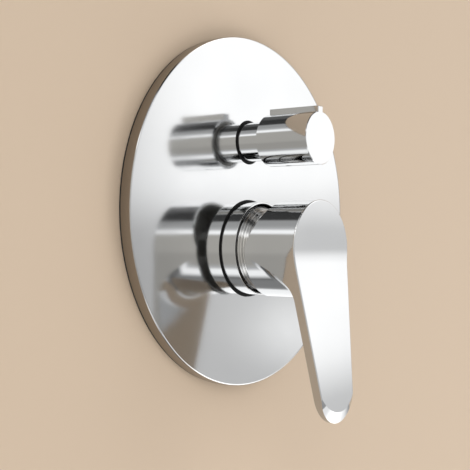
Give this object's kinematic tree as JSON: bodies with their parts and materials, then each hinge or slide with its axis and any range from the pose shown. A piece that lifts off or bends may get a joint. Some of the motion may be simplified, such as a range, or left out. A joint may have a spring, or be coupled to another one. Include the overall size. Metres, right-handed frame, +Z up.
{
  "type": "shower diverter valve",
  "caption": "Built-in shower valve with a round chrome cover plate, a mixing lever and a diverter knob above it, on a brass body with pipe sockets.",
  "frame": {"origin": "centre of the cover plate, on the wall plane", "axes": "+X to the right seen from the room, +Y into the wall, +Z up"},
  "size_m": [0.17, 0.1137, 0.1834],
  "materials": {
    "polished_chrome": "mirror polished",
    "black_rubber": "moulded",
    "foam_gasket": "closed-cell foam",
    "cast_brass": "shot blasted casting",
    "turned_brass": "turned",
    "plated_stem": "die cast",
    "cartridge_plastic": "moulded",
    "guide_plastic": "moulded",
    "disc_ceramic": "lapped",
    "steel_hardware": "plain",
    "grey_plug": "moulded"
  },
  "bodies": {
    "valve": {"valve_body": "cast_brass", "hot_inlet_union": "turned_brass", "cold_inlet_union": "turned_brass", "upper_outlet_union": "turned_brass", "lower_outlet_union": "turned_brass", "cover_plate": "polished_chrome", "plate_gasket": "foam_gasket", "sleeve_seal": "black_rubber", "collar_seal": "black_rubber", "lever_sleeve": "polished_chrome", "neck_seal": "black_rubber", "dome_cap": "polished_chrome", "retaining_nut": "turned_brass", "cartridge_housing": "cartridge_plastic", "fixed_disc": "disc_ceramic", "disc_seals": "black_rubber", "cartridge_base": "cartridge_plastic", "base_seals": "black_rubber", "knob_collar": "polished_chrome", "diverter_bonnet": "turned_brass", "bonnet_seal": "black_rubber", "diverter_fixed_disc": "disc_ceramic", "diverter_seat_seal": "black_rubber"},
    "turning_guide": {"turn_guide": "guide_plastic", "stem_pivot_pin": "steel_hardware"},
    "lever": {"lever_handle": "polished_chrome", "lever_grub_screw": "steel_hardware", "lever_plug": "grey_plug", "cartridge_stem": "plated_stem"},
    "disc_slider": {"disc_carrier": "guide_plastic", "moving_disc": "disc_ceramic"},
    "knob": {"diverter_knob": "polished_chrome", "knob_grub_screw": "steel_hardware", "diverter_spindle": "turned_brass", "spindle_seals": "black_rubber", "spindle_clip": "steel_hardware", "diverter_moving_disc": "disc_ceramic"}
  },
  "joints": [
    {"name": "lever_turn", "type": "hinge", "parent": "valve", "child": "turning_guide", "pos_m": [0, -0.0126, -0.018], "axis": [0, 1, 0], "range_deg": [-50, 50]},
    {"name": "lever_lift", "type": "hinge", "parent": "turning_guide", "child": "lever", "pos_m": [0, -0.0126, -0.018], "axis": [-1, 0, 0], "range_deg": [0, 25]},
    {"name": "disc_slide", "type": "slide", "parent": "turning_guide", "child": "disc_slider", "axis": [0, 0, -1], "range_m": [0, 0.00465]},
    {"name": "knob_turn", "type": "hinge", "parent": "valve", "child": "knob", "pos_m": [0, 0, 0.034], "axis": [0, 1, 0], "range_deg": [-45, 45]}
  ],
  "couplings": [
    {"joint": "disc_slide", "follows": "lever_lift", "m_per_rad": 0.010654}
  ]
}
